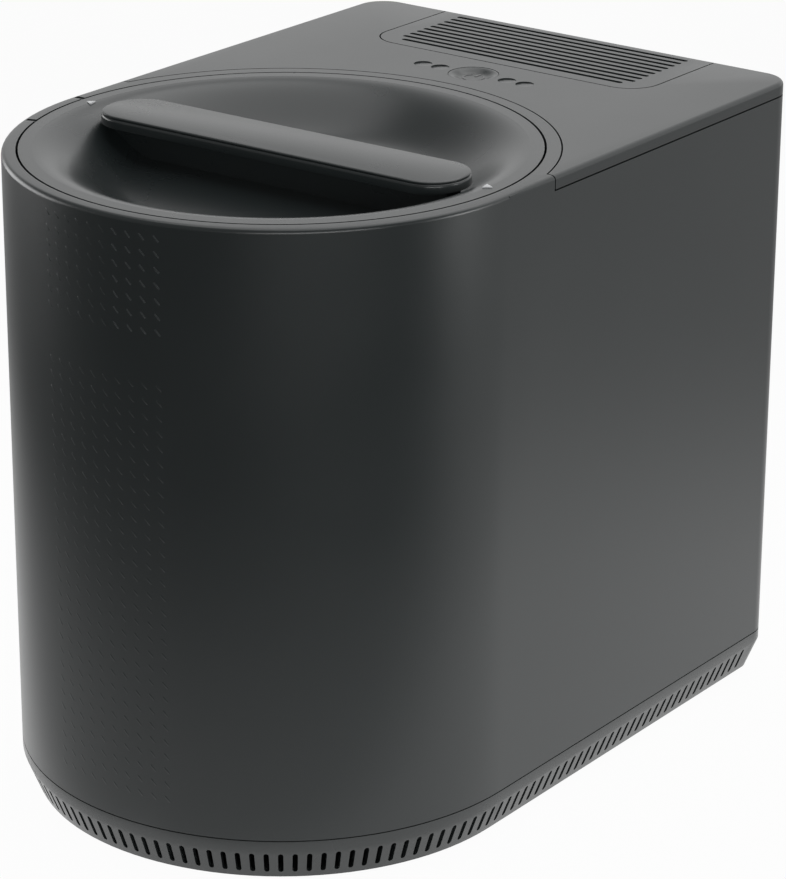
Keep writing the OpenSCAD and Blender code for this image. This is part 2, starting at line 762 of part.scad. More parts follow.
module filter_cover() color([0.33, 0.335, 0.345])
    difference() {
        intersection() {
            rounded_block(cover_z, deck_z);
            cover_opening(-seam / 2);
        }
        prism(wall, cover_z - 1, deck_z - 3);
        for (k = [0 : grille_n - 1]) translate([0, filter_y + grille_y + k * grille_pitch, deck_z - 5]) {
            w = cover_w / 2 - grille_in - corner_cut(k * grille_pitch);
            translate([-w, -grille_w / 2, 0]) cube([2 * w, grille_w, 10]);
            for (s = [-1, 1]) translate([s * w, 0, 0]) cylinder(10, r = grille_w / 2, $fn = 24);
        }
    }

module control_board() color([0.1, 0.35, 0.2]) {
    block(-board_w / 2, board_w / 2, button_y - board_d / 2, button_y + board_d / 2, board_z, board_z + pcb_t);
    block(-stem_r, stem_r, button_y - stem_r, button_y + stem_r, board_z + 1, stem_z - button_travel - 0.3);
    for (x = lens_x) rod(lens_d / 2 - 2, board_z + 1, deck_z - lens_t - 0.3, [x, button_y], 24);
}

module power_button() color([0.3, 0.305, 0.315])
    difference() {
        union() {
            rod(button_r, deck_z - 4, deck_z - 0.3, [0, button_y]);
            rod(button_r + button_lip, deck_z - 5, deck_z - 3 - free_gap, [0, button_y]);
            rod(stem_r, stem_z, deck_z - 4, [0, button_y]);
        }
        translate([0, button_y, deck_z + dish_ball - button_dish]) sphere(r = dish_ball, $fn = 96);
    }

module indicator_lenses() color([0.55, 0.56, 0.58])
    for (x = lens_x) rod(lens_d / 2, deck_z - lens_t, deck_z - 0.4, [x, button_y]);

// Upright board on the left, with its parts standing towards the middle
module main_board() color([0.1, 0.35, 0.2])
    translate([main_x, main_y, plate_top]) {
        cube([pcb_t, main_l, main_h]);
        translate([1, 12, 12]) cube(supply_size);
        translate([1, main_l - relay_size.y - 10, 20]) cube(relay_size);
        translate([1, main_l - driver_size.y - 10, 54]) cube(driver_size);
        for (z = [60, 80]) translate([1, 18, z]) rotate([0, 90, 0])
            cylinder(supply_size.x + 1, r = capacitor_r, $fn = 32);
    }

module inlet_block(g, d) {
    block(inlet_x - inlet_w / 2 - g, inlet_x + inlet_w / 2 + g, rear_y - d, rear_y - 0.5 + g * 8,
        inlet_z - inlet_h / 2 - g, inlet_z + inlet_h / 2 + g);
}

module power_inlet() color([0.08, 0.08, 0.08])
    difference() {
        inlet_block(0, inlet_d);
        block(inlet_x - inlet_w / 2 + 1.8, inlet_x + inlet_w / 2 - 1.8, rear_y - inlet_d + 6, rear_y + 1,
            inlet_z - inlet_h / 2 + 2.6, inlet_z + inlet_h / 2 - 2.6);
        pins();
    }

module pins()
    for (p = [[-7, -2], [0, 3], [7, -2]])
        block(inlet_x + p.x - 1, inlet_x + p.x + 1, rear_y - inlet_d - 3, rear_y - 4, inlet_z + p.y - 2,
            inlet_z + p.y + 2);

module inlet_pins() color([0.8, 0.8, 0.75]) pins();

module inner_lid_plate() color([0.3, 0.3, 0.31])
    difference() {
        union() {
            rod(plate_r, plate_z, plate_z + plate_t, fn = 180);
            rod(hub_out, plate_z, plate_z + plate_t);
        }
        rod(pivot_r, plate_z - 1, plate_z + plate_t + 1);
    }

module lid_seal() color([0.75, 0.75, 0.72]) ring(seal_r - seal_t, seal_r, flange_z + 0.3, plate_z);

module lid_pivot() color([0.7, 0.7, 0.72]) rod(pivot_r, plate_z - 1, dish_z - dish_t - free_gap);

// Height of the dish's upper face at radius r
function dish_at(r) = let (t = min(max((r - dish_floor_r) / (dish_rim_r - dish_floor_r), 0), 1))
    dish_z + dish_depth * t * t * (3 - 2 * t);

module dish_section(top) {
    n = 20;
    rs = [for (k = [0 : n]) dish_floor_r + (dish_rim_r - dish_floor_r) * k / n];
    lower = [for (r = rs) [r, dish_at(r) - dish_t - 0.9 * sin(180 * (r - dish_floor_r) / (dish_rim_r - dish_floor_r))]];
    polygon(concat([[0, dish_z - dish_t]], lower, top ? [[dish_rim_r, top], [0, top]] :
        concat([for (k = [n : -1 : 0]) [rs[k], dish_at(rs[k])]], [[0, dish_z]])));
}

module bar_shape() {
    c = bar_w / 2 - 1.5;
    f = 1.2;
    k = bar_l / 2 - c;
    for (q = [[0, f], [f, 0]]) {
        translate([0, cy, bar_z + (q.x ? 0 : f)]) {
            h = bar_t - (q.x ? 0 : 2 * f);
            for (s = [-1, 1]) for (t = [-1, 1]) translate([s * k, t * 1.5]) cylinder(h, r = c - q.x, $fn = 64);
            translate([-k, -bar_w / 2 + q.x, 0]) cube([2 * k, bar_w - 2 * q.x, h]);
            translate([-bar_l / 2 + q.x, -1.5, 0]) cube([bar_l - 2 * q.x, 3, h]);
        }
    }
}

// Places a piece that is drawn along X at the bar's turn on the lid
module on_bar() {
    translate([0, cy, 0]) rotate(bar_turn) translate([0, -cy, 0]) children();
}

module arrow(s, g = 0) {
    on_bar() translate([s * arrow_x, cy, deck_z - 0.6]) rotate(arrow_turn + (s > 0 ? 0 : 180))
        linear_extrude(0.6 + g) polygon([[-1.7, -2.4], [3.3, 0], [-1.7, 2.4]]);
}

module lid_screw_holes(z0, z1) {
    on_bar() for (s = [-1, 1]) rod(lid_screw_r, z0, z1, [s * lid_screw_x, cy], 24);
}

module lid_dish() color([0.33, 0.335, 0.345]) {
    difference() {
        union() {
            translate([0, cy, 0]) rotate_extrude($fn = 180) dish_section(false);
            ring(dish_rim_r - 0.5, lid_r, deck_z - flange_t, deck_z);
            intersection() {
                on_bar() block(6 - bar_l / 2, bar_l / 2 - 6, cy - web_t / 2, cy + web_t / 2, dish_z - dish_t,
                    bar_z);
                translate([0, cy, 0]) rotate_extrude($fn = 180) dish_section(bar_z);
            }
        }
        on_bar() bar_shape();
        for (s = [-1, 1]) arrow(s, 1);
        lid_screw_holes(0, deck_z);
    }
    ring(skirt_r - skirt_t, skirt_r, lug_z - 1, deck_z - flange_t + 0.5);
    for (a = lug_at) translate([0, cy, lug_z]) rotate(a - lug_turn / 2)
        rotate_extrude(angle = lug_turn) translate([skirt_r - 1, 0]) square([lug_out + 1, lug_h]);
    ring(pivot_r + run_fit, hub_out, plate_z + plate_t + free_gap, dish_z - dish_t + 0.5, fn = 64);
}

module lid_handle() color([0.36, 0.365, 0.375])
    difference() {
        on_bar() bar_shape();
        lid_screw_holes(bar_z - 1, bar_z + 4);
    }

module lid_arrows() color([0.85, 0.86, 0.87]) for (s = [-1, 1]) arrow(s, arrow_up);

module lid_screws() color([0.6, 0.6, 0.6]) {
    lid_screw_holes(dish_z - dish_t - 1, bar_z + 3.5);
    on_bar() for (s = [-1, 1])
        rod(2 * lid_screw_r, dish_z - dish_t - 3, dish_z - dish_t, [s * lid_screw_x, cy], 32);
}

module lid_magnet() color([0.5, 0.5, 0.5])
    translate([0, cy, lug_z]) rotate(90 - lock_turn)
        rotate_extrude(angle = 6) translate([skirt_r - skirt_t - 3, 0]) square([3, 7]);

module bucket_pot() color([0.2, 0.2, 0.21]) {
    difference() {
        union() {
            rod(bucket_r + bucket_t, pot_z, rim_z, fn = 180);
            rod(rim_r, rim_z - rim_t, rim_z, fn = 180);
            for (s = [-1, 1]) {
                x = s > 0 ? ear_x : -ear_x - ear_t;
                block(x, x + ear_t, cy - 3, cy + 3, rim_z - 1, bail_z);
                translate([x, cy, bail_z]) rotate([0, 90, 0]) cylinder(ear_t, r = 3);
            }
        }
        rod(bucket_r, pot_z + bucket_t, rim_z + 1, fn = 180);
        rod(dome_r, pot_z - 1, pot_z + bucket_t + 1);
        for (s = [-1, 1]) translate([s * (ear_x - 1), cy, bail_z]) rotate([0, s * 90, 0])
            cylinder(ear_t + 2, r = pin_r + run_fit, $fn = 32);
    }
}

// Raised hub in the middle of the bucket's floor
module bucket_hub() color([0.2, 0.2, 0.21])
    difference() {
        rod(dome_r - 2 * run_fit, pot_z, pot_z + dome_h + bucket_t);
        rod(dome_r - bucket_t, pot_z - 1, pot_z + dome_h);
        rod(hub_r + bush_t, pot_z, pot_z + dome_h + bucket_t + 1);
    }

module bucket_bush() color([0.72, 0.55, 0.3])
    ring(hub_r + run_fit, hub_r + bush_t, pot_z + dome_h, pot_z + dome_h + bucket_t, fn = 64);

module fixed_blades() color([0.72, 0.73, 0.75])
    for (s = [-1, 1], z = [48, 84]) intersection() {
        translate([0, cy, pot_z + z]) rotate(s > 0 ? 50 : 230) translate([bucket_r - fixed_l, -5, 0])
            cube([fixed_l + 2, 10, 4]);
        rod(bucket_r, 0, deck_z, fn = 180);
    }

module bail_wire() color([0.7, 0.71, 0.73])
    translate([0, cy, bail_z]) {
        rotate(180) rotate_extrude(angle = 180, $fn = 96) translate([bail_r, 0]) circle(bail_d / 2, $fn = 24);
        for (s = [-1, 1]) {
            translate([s * (bail_r - 1.8), 0, 0]) rotate([0, s * 90, 0]) cylinder(3.6, r = bail_d / 2 + 0.4);
            translate([s * (bail_r - 1), 0, 0]) rotate([0, -s * 90, 0]) cylinder(bail_r - ear_x, r = pin_r);
        }
    }

module bail_grip() color([0.12, 0.12, 0.13])
    translate([0, cy, bail_z]) rotate(250) rotate_extrude(angle = 40, $fn = 96) translate([bail_r, 0])
        difference() {
            square([12, 4.6], center = true);
            circle(bail_d / 2, $fn = 24);
        }

hub_z = pot_z + dome_h + bucket_t + free_gap;
hub_head_r = 16;
arm_r = bucket_r - arm_gap;
tine_r = bucket_r - fixed_l - 16;

module agitator_shaft() color([0.68, 0.69, 0.7]) {
    difference() {
        rod(dome_r - bucket_t - 8, pot_z + 1, pot_z + dome_h - free_gap);
        translate([-dog_w / 2 - 0.4, cy - dog_w / 2 - 0.4, pot_z]) cube([dog_w + 0.8, dog_w + 0.8, dome_h - 2]);
    }
    rod(hub_r, pot_z + dome_h - 2, hub_z + 1);
    rod(hub_head_r, hub_z, hub_z + 16);
    rod(hub_r + 3, hub_z + 15, hub_z + 22);
}

module agitator_blades() color([0.78, 0.79, 0.8])
    for (a = [0, 180]) translate([0, cy, 0]) rotate(a) {
        difference() {
            block(hub_r + 3, arm_r, -6, 6, hub_z + 1, hub_z + 9);
            rod(hub_head_r, 0, deck_z, [0, 0]);
        }
        block(dome_r + 4, arm_r, -4, 4, pot_z + bucket_t + 1, hub_z + 2);
        block(tine_r, tine_r + 12, -5, 5, hub_z + 8, pot_z + bucket_t + agitator_h);
        block(tine_r - 12, tine_r + 1, -4, 4, hub_z + 40, hub_z + 46);
    }

outer_shell();
base_tray();
feet();
top_cover();
rear_panel();
panel_screws();
base_screws();
bayonet_ring();
reed_switch();
well_liner();
insulation_jacket();
heater_band();
thermostat();
chassis_plate();
chassis_posts();
gearbox_lower_case();
gearbox_upper_case();
gearbox_screws();
gearbox_bushes();
output_bearing();
shaft_seal();
output_shaft();
output_gear();
layshaft();
motor_can();
motor_stator();
motor_rotor();
exhaust_duct();
blower_housing();
blower_motor();
blower_bracket();
fan_wheel();
filter_tray();
filter_case();
filter_charcoal();
filter_cover();
control_board();
power_button();
indicator_lenses();
main_board();
power_inlet();
inlet_pins();
inner_lid_plate();
lid_seal();
lid_pivot();
lid_dish();
lid_handle();
lid_arrows();
lid_screws();
lid_magnet();
bucket_pot();
bucket_hub();
bucket_bush();
fixed_blades();
bail_wire();
bail_grip();
agitator_shaft();
agitator_blades();
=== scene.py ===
import json
import math
import bpy
import bmesh
from mathutils import Matrix, Vector


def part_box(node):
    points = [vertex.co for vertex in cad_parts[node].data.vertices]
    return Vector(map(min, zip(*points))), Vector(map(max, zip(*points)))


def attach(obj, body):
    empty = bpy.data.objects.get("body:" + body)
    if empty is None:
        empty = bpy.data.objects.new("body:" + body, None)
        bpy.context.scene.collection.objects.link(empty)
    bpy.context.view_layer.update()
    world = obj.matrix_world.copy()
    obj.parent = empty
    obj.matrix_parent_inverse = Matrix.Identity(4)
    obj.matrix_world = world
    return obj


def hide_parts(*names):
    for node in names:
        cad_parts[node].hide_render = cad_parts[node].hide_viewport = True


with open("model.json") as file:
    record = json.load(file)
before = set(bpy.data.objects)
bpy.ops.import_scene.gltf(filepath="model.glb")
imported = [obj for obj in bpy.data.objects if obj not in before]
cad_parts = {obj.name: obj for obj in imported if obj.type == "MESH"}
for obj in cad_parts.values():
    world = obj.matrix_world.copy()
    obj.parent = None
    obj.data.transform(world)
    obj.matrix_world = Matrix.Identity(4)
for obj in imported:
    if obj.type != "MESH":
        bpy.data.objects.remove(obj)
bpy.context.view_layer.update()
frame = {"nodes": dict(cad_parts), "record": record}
nodes = frame["nodes"]
print("frame loaded:", len(nodes), "nodes")

# the front is half round about this upright axis
shellLow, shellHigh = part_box("outer_shell")
bodyR = (shellHigh.x - shellLow.x) / 2
axisY = shellLow.y + bodyR
deckZ = shellHigh.z
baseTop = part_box("base_tray")[1].z

# camera, fitted to the photo's frame in pixels, with its angles in degrees and its place in metres
photoCamera = {"width": 786, "height": 879, "focalPx": 3547.34, "azimuth": 36.9234, "elevation": 21.3968,
               "roll": 0.2599, "place": (1.07127, -1.39368, 0.85718), "sensorMm": 36, "clipEnd": 50}


def makeCamera(spec):
    az, el, roll = (math.radians(spec[k]) for k in ("azimuth", "elevation", "roll"))
    back = Vector((math.sin(az) * math.cos(el), -math.cos(az) * math.cos(el), math.sin(el)))
    right = Vector((math.cos(az), math.sin(az), 0))
    up = back.cross(right)
    axes = (math.cos(roll) * right + math.sin(roll) * up, math.cos(roll) * up - math.sin(roll) * right, back)
    data = bpy.data.cameras.new("photoCamera")
    data.sensor_width = spec["sensorMm"]
    data.lens = spec["focalPx"] / max(spec["width"], spec["height"]) * data.sensor_width
    data.clip_end = spec["clipEnd"]
    camera = bpy.data.objects.new("photoCamera", data)
    turned = Matrix(axes).transposed().to_4x4()
    camera.matrix_world = Matrix.Translation(spec["place"]) @ turned
    bpy.context.scene.collection.objects.link(camera)
    bpy.context.scene.camera = camera


# softboxes round the object, with places and sizes in metres and power in watts
studio = {
    "topBox": {"place": (0.1, 0.5, 2.2), "aim": (0, 0, 0.35), "size": (2.4, 2.4), "power": 22},
    "rightBox": {"place": (2.3, 0.9, 0.42), "aim": (0, 0, 0.15), "size": (0.7, 0.7), "power": 9},
    "frontBox": {"place": (1.97, -1.65, 0.74), "aim": (0, 0, 0.33), "size": (2.2, 0.55), "power": 14},
    "leftBox": {"place": (-2.1, -0.3, 0.45), "aim": (0, 0, 0.1), "size": (1.8, 1.2), "power": 19},
}


def makeLight(name, spec):
    data = bpy.data.lights.new(name, "AREA")
    data.shape = "RECTANGLE"
    data.size, data.size_y = spec["size"]
    data.energy = spec["power"]
    lamp = bpy.data.objects.new(name, data)
    lamp.location = spec["place"]
    lamp.rotation_euler = (Vector(spec["aim"]) - lamp.location).to_track_quat("-Z", "Y").to_euler()
    bpy.context.scene.collection.objects.link(lamp)


# sets a node's inputs: another node's output is linked, and any other value is set on the socket itself
def setInputs(tree, node, values):
    for key, value in values.items():
        if isinstance(value, bpy.types.NodeSocket):
            tree.links.new(value, node.inputs[key])
        else:
            node.inputs[key].default_value = value


def addNode(tree, kind, values=None, **settings):
    node = tree.nodes.new(kind)
    for key, value in settings.items():
        setattr(node, key, value)
    setInputs(tree, node, values or {})
    return node


def calc(tree, operation, *values, clamp=False):
    node = addNode(tree, "ShaderNodeMath", dict(enumerate(values)), operation=operation, use_clamp=clamp)
    return node.outputs[0]


def calcVector(tree, operation, *values):
    node = addNode(tree, "ShaderNodeVectorMath", dict(enumerate(values)), operation=operation)
    return node.outputs["Value" if operation in ("DOT_PRODUCT", "LENGTH") else "Vector"]


# carries a value from one range over to another, and no further than its ends
def carry(tree, value, source, target, **settings):
    ends = {"From Min": source[0], "From Max": source[1], "To Min": target[0], "To Max": target[1]}
    return addNode(tree, "ShaderNodeMapRange", {"Value": value, **ends}, **settings).outputs["Result"]


# the set is all white to the camera; in a reflection it is white on the side behind the object, by how far
# the ray leans to that side
backdrop = {"side": (0, 1, 0), "lean": (0.1, 0.75), "mirrored": 0.9, "worldGlow": 0.27}


# fade lowers the white of a reflection, and near is white that it has on every side
def whiteShare(tree, towards, fade=1.0, near=0.0):
    path = addNode(tree, "ShaderNodeLightPath").outputs
    side = calcVector(tree, "DOT_PRODUCT", calcVector(tree, "NORMALIZE", towards), backdrop["side"])
    behind = carry(tree, side, backdrop["lean"], (0.0, backdrop["mirrored"]),
                   interpolation_type="SMOOTHSTEP")
    lit = calc(tree, "MULTIPLY_ADD", behind, fade, near, clamp=True)
    mirrored = calc(tree, "ADD", path["Is Glossy Ray"], path["Is Transmission Ray"], clamp=True)
    return calc(tree, "ADD", path["Is Camera Ray"], calc(tree, "MULTIPLY", mirrored, lit), clamp=True)


def makeWorld(spec):
    world = bpy.data.worlds.new("studioWorld")
    world.use_nodes = True
    bpy.context.scene.world = world
    tree = world.node_tree
    tree.nodes.clear()
    towards = addNode(tree, "ShaderNodeTexCoord").outputs["Generated"]
    dim = addNode(tree, "ShaderNodeBackground", {"Strength": spec["worldGlow"]})
    bright = addNode(tree, "ShaderNodeBackground", {"Color": (1, 1, 1, 1)})
    mix = addNode(tree, "ShaderNodeMixShader",
                  {0: whiteShare(tree, towards), 1: dim.outputs[0], 2: bright.outputs[0]})
    addNode(tree, "ShaderNodeOutputWorld", {"Surface": mix.outputs[0]})


def finishMesh(name, shape, smoothAngle=35):
    bmesh.ops.recalc_face_normals(shape, faces=shape.faces)
    mesh = bpy.data.meshes.new(name)
    shape.to_mesh(mesh)
    shape.free()
    for face in mesh.polygons:
        face.use_smooth = True
    mesh.set_sharp_from_angle(angle=math.radians(smoothAngle))
    piece = bpy.data.objects.new(name, mesh)
    bpy.context.scene.collection.objects.link(piece)
    return piece


# floor: from near to far, in metres from the middle, its own tone and its white in reflections fall off
studioFloor = {"size": 14.0, "near": 0.2, "far": 0.8, "tones": (0.9, 0.15), "rough": 0.9, "gloss": 0.1,
               "glow": 0.965, "farShare": 0.48, "nearShare": 0.42, "nearReach": 0.65, "from": (0, -0.25, 0)}


def makeFloorWhite(spec):
    material = bpy.data.materials.new("floorWhite")
    material.use_nodes = True
    tree = material.node_tree
    place = addNode(tree, "ShaderNodeNewGeometry").outputs["Position"]
    away = calcVector(tree, "LENGTH", place)
    reach = (spec["near"], spec["far"])
    fade = carry(tree, away, reach, (1.0, spec["farShare"]))
    near = carry(tree, away, (spec["near"], spec["nearReach"]), (spec["nearShare"], 0.0))
    towards = calcVector(tree, "SUBTRACT", place, spec["from"])
    share = calc(tree, "MULTIPLY", whiteShare(tree, towards, fade, near), spec["glow"])
    surface = tree.nodes["Principled BSDF"]
    setInputs(tree, surface, {"Base Color": carry(tree, away, reach, spec["tones"]),
                              "Roughness": spec["rough"], "Specular IOR Level": spec["gloss"]})
    glow = addNode(tree, "ShaderNodeEmission")
    mix = addNode(tree, "ShaderNodeMixShader", {0: share, 1: surface.outputs[0], 2: glow.outputs[0]})
    setInputs(tree, tree.nodes["Material Output"], {"Surface": mix.outputs[0]})
    return material


def makeFloor(spec):
    shape = bmesh.new()
    bmesh.ops.create_grid(shape, x_segments=1, y_segments=1, size=spec["size"] / 2)
    floor = finishMesh("studioFloor", shape)
    floor.data.materials.append(makeFloorWhite(spec))


makeCamera(photoCamera)
for lightName, lightSpec in studio.items():
    makeLight(lightName, lightSpec)
makeWorld(backdrop)
makeFloor(studioFloor)
bpy.context.scene.view_settings.view_transform = "Standard"
print("camera, lights and floor are in place")


# starts a shader group: a number makes its input a value, and anything else makes it a vector
def newGroup(name, inputs, outputs):
    group = bpy.data.node_groups.new(name, "ShaderNodeTree")
    for label, value in inputs.items():
        kind = "NodeSocketFloat" if isinstance(value, float) else "NodeSocketVector"
        socket = group.interface.new_socket(label, in_out="INPUT", socket_type=kind)
        if value is not None:
            socket.default_value = value
    for label in outputs:
        group.interface.new_socket(label, in_out="OUTPUT", socket_type="NodeSocketFloat")
    return group, group.nodes.new("NodeGroupInput").outputs


# mould grain: fine noise and shallow cells for the bump, and a slow drift for tone and gloss
mouldGrain = {"size": 900.0, "detail": 2.0, "fineness": 0.6, "cells": 0.55,
              "drift": 14.0, "driftDetail": 4.0, "driftFineness": 0.5}


def makeGrainGroup(spec):
    group, given = newGroup("mouldGrain", {"Vector": None, "Size": spec["size"], "Drift": spec["drift"]},
                            ("Height", "Drift"))
    fineSize = {"Vector": given["Vector"], "Scale": given["Size"]}
    slowSize = {"Vector": given["Vector"], "Scale": given["Drift"]}
    fine = addNode(group, "ShaderNodeTexNoise",
                   {**fineSize, "Detail": spec["detail"], "Roughness": spec["fineness"]})
    cells = addNode(group, "ShaderNodeTexVoronoi", fineSize)
    slow = addNode(group, "ShaderNodeTexNoise",
                   {**slowSize, "Detail": spec["driftDetail"], "Roughness": spec["driftFineness"]})
    shallow = calc(group, "MULTIPLY", cells.outputs["Distance"], spec["cells"])
    height = calc(group, "ADD", fine.outputs["Fac"], shallow)
    addNode(group, "NodeGroupOutput", {"Height": height, "Drift": slow.outputs["Fac"]})
    return group


# brush lines: noise that is drawn out along the metal, and a slow drift
brushLines = {"stretch": (30, 30, 900), "detail": 3.0, "drift": 22.0}


def makeBrushGroup(spec):
    group, given = newGroup("brushLines", {"Vector": None, "Stretch": spec["stretch"]}, ("Height", "Drift"))
    drawn = calcVector(group, "MULTIPLY", given["Vector"], given["Stretch"])
    lines = addNode(group, "ShaderNodeTexNoise", {"Vector": drawn, "Scale": 1.0, "Detail": spec["detail"]})
    slow = addNode(group, "ShaderNodeTexNoise", {"Vector": given["Vector"], "Scale": spec["drift"],
                                                 "Detail": spec["detail"]})
    addNode(group, "NodeGroupOutput", {"Height": lines.outputs["Fac"], "Drift": slow.outputs["Fac"]})
    return group


# edge rub: spots of wear where the surface bends away from its rounded normal
edgeRub = {"width": 0.0009, "samples": 4, "reach": 0.35, "spots": 60.0, "detail": 4.0}


def makeEdgeGroup(spec):
    inputs = {"Vector": None, "Normal": None, "Rounded": None, "Reach": spec["reach"]}
    group, given = newGroup("edgeRub", inputs, ("Mask",))
    bend = calc(group, "SUBTRACT", 1.0, calcVector(group, "DOT_PRODUCT", given["Normal"], given["Rounded"]))
    spots = addNode(group, "ShaderNodeTexNoise", {"Vector": given["Vector"], "Scale": spec["spots"],
                                                  "Detail": spec["detail"]})
    reached = calc(group, "MULTIPLY", bend, given["Reach"])
    mask = calc(group, "MULTIPLY", reached, spots.outputs["Fac"], clamp=True)
    addNode(group, "NodeGroupOutput", {"Mask": mask})
    return group


grainGroup = makeGrainGroup(mouldGrain)
brushGroup = makeBrushGroup(brushLines)
edgeGroup = makeEdgeGroup(edgeRub)

# every finish: dark and light tone, low and high roughness, bump in metres, and what its grain is
shellTones = ((0.0185, 0.0238, 0.0244), (0.0225, 0.0278, 0.0284))
finishes = {
    "shellPlastic": {"tones": shellTones, "rough": (0.27, 0.31), "bump": 0.00002, "grain": 1500,
                     "gloss": 0.68, "rub": (0.05, 0.053, 0.054)},
    # painted light: a lighter copy of the shell plastic for the dashes at the right of the front, standing
    # in for the side light that catches them
    "paintedLitDashPlastic": {"tones": ((0.043, 0.05, 0.051), (0.048, 0.055, 0.056)), "rough": (0.25, 0.29),
                    "bump": 0.00003, "grain": 1500, "gloss": 0.68},
    "basePlastic": {"tones": ((0.028, 0.033, 0.0335), (0.032, 0.037, 0.0375)), "rough": (0.24, 0.3),
                    "bump": 0.00004, "grain": 1300, "gloss": 0.68, "rub": (0.05, 0.053, 0.054)},
    "lidPlastic": {"tones": shellTones, "rough": (0.26, 0.3), "bump": 0.00002, "grain": 1700,
                   "gloss": 0.68, "rub": (0.055, 0.058, 0.06)},
    "paleInlay": {"tones": ((0.78, 0.79, 0.8), (0.84, 0.85, 0.86)), "rough": (0.5, 0.6), "bump": 0.00003,
                  "grain": 1500},
    "signGrey": {"tones": ((0.17, 0.172, 0.175), (0.2, 0.202, 0.205)), "rough": (0.4, 0.5), "bump": 0.00002,
                 "grain": 1500},
    "softRubber": {"tones": ((0.012, 0.012, 0.012), (0.022, 0.022, 0.022)), "rough": (0.7, 0.85),
                   "bump": 0.00012, "grain": 800},
    "innerPlastic": {"tones": ((0.02, 0.02, 0.022), (0.028, 0.028, 0.03)), "rough": (0.5, 0.62),
                     "bump": 0.00006, "grain": 1100, "rub": (0.06, 0.06, 0.062)},
    "socketPlastic": {"tones": ((0.008, 0.008, 0.008), (0.014, 0.014, 0.014)), "rough": (0.25, 0.35),
                      "bump": 0.00003, "grain": 1600},
    "steel": {"tones": ((0.48, 0.49, 0.5), (0.6, 0.61, 0.62)), "rough": (0.24, 0.4), "bump": 0.00002,
              "metal": 1.0, "brush": (40, 40, 1400)},
    "sheetAluminium": {"tones": ((0.6, 0.61, 0.62), (0.72, 0.73, 0.74)), "rough": (0.3, 0.46),
                       "bump": 0.00003, "metal": 1.0, "brush": (60, 60, 1100)},
    "castCase": {"tones": ((0.3, 0.31, 0.32), (0.4, 0.41, 0.42)), "rough": (0.5, 0.65), "bump": 0.00015,
                 "metal": 0.9, "grain": 500},
    "bucketCoat": {"tones": ((0.014, 0.014, 0.015), (0.026, 0.026, 0.027)), "rough": (0.34, 0.46),
                   "bump": 0.00007, "grain": 700, "rub": (0.2, 0.2, 0.2)},
    "sinteredBronze": {"tones": ((0.34, 0.2, 0.07), (0.46, 0.29, 0.11)), "rough": (0.4, 0.55),
                       "bump": 0.00004, "metal": 1.0, "grain": 1300},
    "copperWinding": {"tones": ((0.4, 0.15, 0.05), (0.56, 0.24, 0.09)), "rough": (0.3, 0.4), "bump": 0.0002,
                      "metal": 0.9, "brush": (20, 20, 900)},
    "sealSilicone": {"tones": ((0.42, 0.42, 0.4), (0.5, 0.5, 0.48)), "rough": (0.55, 0.65), "bump": 0.00004,
                     "grain": 900},
    "mineralFibre": {"tones": ((0.5, 0.44, 0.28), (0.68, 0.62, 0.44)), "rough": (0.85, 0.95),
                     "bump": 0.0006, "brush": (500, 500, 90)},
    "circuitBoard": {"tones": ((0.006, 0.06, 0.02), (0.012, 0.09, 0.03)), "rough": (0.3, 0.42),
                     "bump": 0.00008, "grain": 400},
    "charcoalGrain": {"tones": ((0.004, 0.004, 0.004), (0.018, 0.018, 0.018)), "rough": (0.75, 0.95),
                      "bump": 0.0012, "grain": 420},
    "gearSteel": {"tones": ((0.34, 0.33, 0.31), (0.44, 0.43, 0.41)), "rough": (0.34, 0.48), "bump": 0.00004,
                  "metal": 1.0, "grain": 1200},
    "smokedLens": {"tones": ((0.03, 0.031, 0.033), (0.036, 0.037, 0.039)), "rough": (0.2, 0.28),
                   "bump": 0.00001, "grain": 1500},
}
plainGloss = 0.5
driftRange = (0.15, 0.85)  # the drift's noise seldom leaves it

# the record's slots and the finish that each one gets
slotFinish = {
    "shell_plastic": "shellPlastic", "base_plastic": "basePlastic", "lid_plastic": "lidPlastic",
    "pale_inlay": "paleInlay", "rubber": "softRubber", "inner_plastic": "innerPlastic",
    "inlet_plastic": "socketPlastic", "steel": "steel", "sheet": "sheetAluminium", "cast_case": "castCase",
    "bucket_coat": "bucketCoat", "bronze": "sinteredBronze", "copper_winding": "copperWinding",
    "seal_silicone": "sealSilicone", "insulation": "mineralFibre", "board": "circuitBoard",
    "charcoal": "charcoalGrain", "gear_steel": "gearSteel", "lens": "smokedLens",
}


# the colour sockets of a Mix node are its inputs 6 and 7 and its output 2
def mixColours(tree, share, first, second):
    return addNode(tree, "ShaderNodeMix", {0: share, 6: first, 7: second}, data_type="RGBA").outputs[2]


def addWear(tree, place, colour, wornTone):
    rounded = addNode(tree, "ShaderNodeBevel", {"Radius": edgeRub["width"]}, samples=edgeRub["samples"])
    shape = addNode(tree, "ShaderNodeNewGeometry")
    rub = addNode(tree, "ShaderNodeGroup", {"Vector": place, "Normal": shape.outputs["Normal"],
                                            "Rounded": rounded.outputs["Normal"]}, node_tree=edgeGroup)
    return mixColours(tree, rub.outputs["Mask"], colour, (*wornTone, 1))


